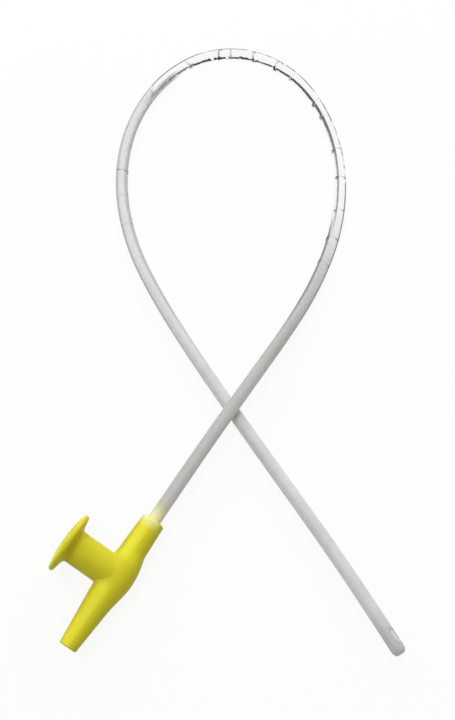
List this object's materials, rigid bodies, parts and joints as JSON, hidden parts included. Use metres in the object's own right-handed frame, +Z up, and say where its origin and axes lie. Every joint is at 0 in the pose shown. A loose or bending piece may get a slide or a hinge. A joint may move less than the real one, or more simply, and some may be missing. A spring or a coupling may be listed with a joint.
{
  "type": "suction catheter",
  "caption": "Suction catheter with a clear flexible tube, a formed tip with side eyes, and a yellow moulded thumb-control connector with a flanged vent port.",
  "frame": {"origin": "on the surface that it lies on, under the middle of the connector's box", "axes": "+Y along the connector from its suction nozzle to the tube, +Z up from the surface, +X away from the thumb port's flange"},
  "size_m": [0.196, 0.2398, 0.0203],
  "materials": {
    "yellow_moulding": "smooth moulded semi-rigid plastic, slightly translucent",
    "clear_tube": "soft frosted translucent vinyl tube"
  },
  "bodies": {
    "root": {"thumb_control_connector": "yellow_moulding", "catheter_tube": "clear_tube"}
  },
  "joints": []
}
